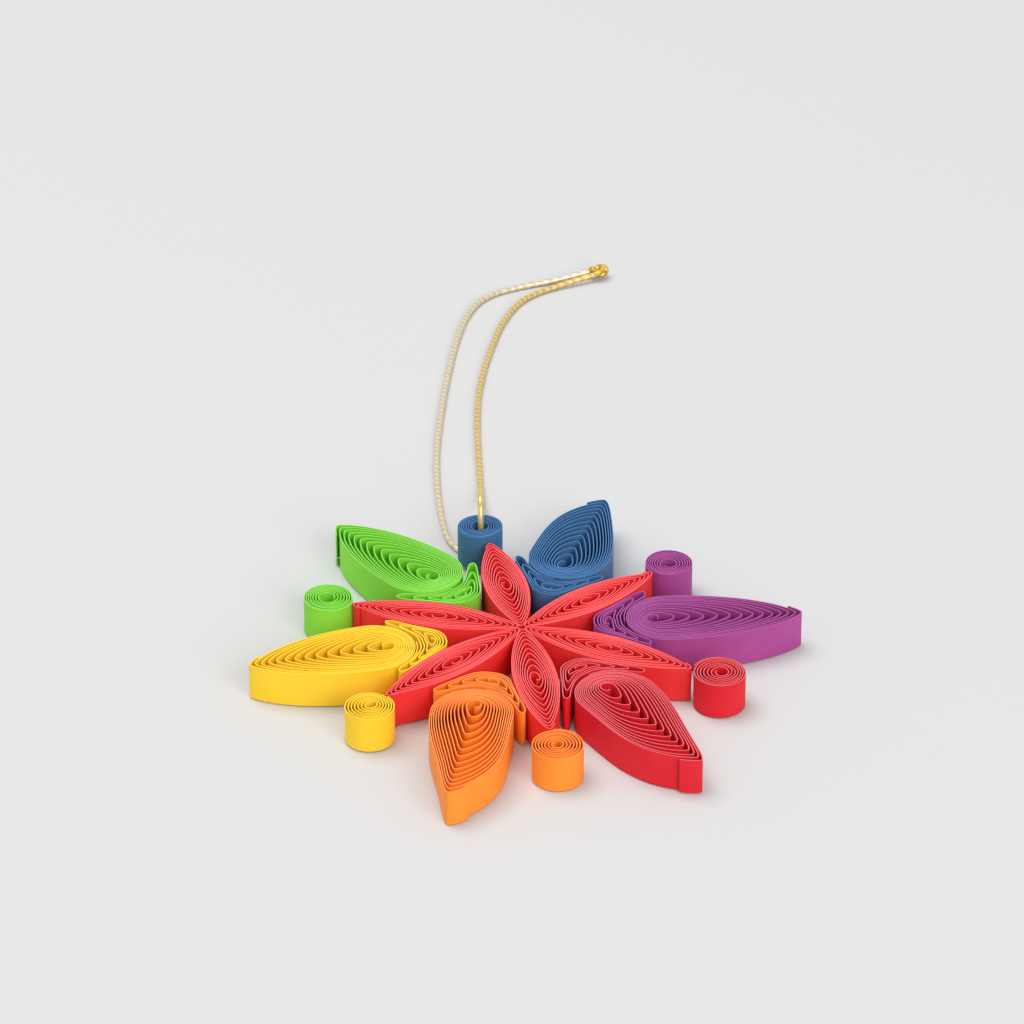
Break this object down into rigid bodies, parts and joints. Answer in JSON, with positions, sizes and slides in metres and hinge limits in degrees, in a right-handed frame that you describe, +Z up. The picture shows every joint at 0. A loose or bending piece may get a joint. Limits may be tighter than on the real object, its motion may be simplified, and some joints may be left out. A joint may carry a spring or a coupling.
{
  "type": "quilled paper star ornament",
  "caption": "Flat star ornament of coiled paper strips in rainbow colours, with petals, teardrops, crescents and rolls, on a knotted gold cord loop.",
  "frame": {"origin": "under the middle of the star's outline, on the surface it lies on", "axes": "+Z up out of the star, +Y towards the blue roll that the cord goes through"},
  "size_m": [0.084, 0.1558, 0.0108],
  "materials": {
    "paper_petal_red": "matte",
    "paper_dark_red": "matte",
    "paper_orange": "matte",
    "paper_yellow": "matte",
    "paper_green": "matte",
    "paper_blue": "matte",
    "paper_purple": "matte",
    "gold_cord": "satin"
  },
  "bodies": {
    "root": {"petal_back": "paper_petal_red", "petal_back_right": "paper_petal_red", "petal_front_right": "paper_petal_red", "petal_front": "paper_petal_red", "petal_front_left": "paper_petal_red", "petal_back_left": "paper_petal_red", "teardrop_blue": "paper_blue", "crescent_blue": "paper_blue", "roll_blue": "paper_blue", "teardrop_green": "paper_green", "crescent_green": "paper_green", "roll_green": "paper_green", "teardrop_yellow": "paper_yellow", "crescent_yellow": "paper_yellow", "roll_yellow": "paper_yellow", "teardrop_orange": "paper_orange", "crescent_orange": "paper_orange", "roll_orange": "paper_orange", "teardrop_dark_red": "paper_dark_red", "crescent_dark_red": "paper_dark_red", "roll_dark_red": "paper_dark_red", "teardrop_purple": "paper_purple", "crescent_purple": "paper_purple", "roll_purple": "paper_purple", "hanging_cord": "gold_cord", "cord_knot": "gold_cord"}
  },
  "joints": []
}
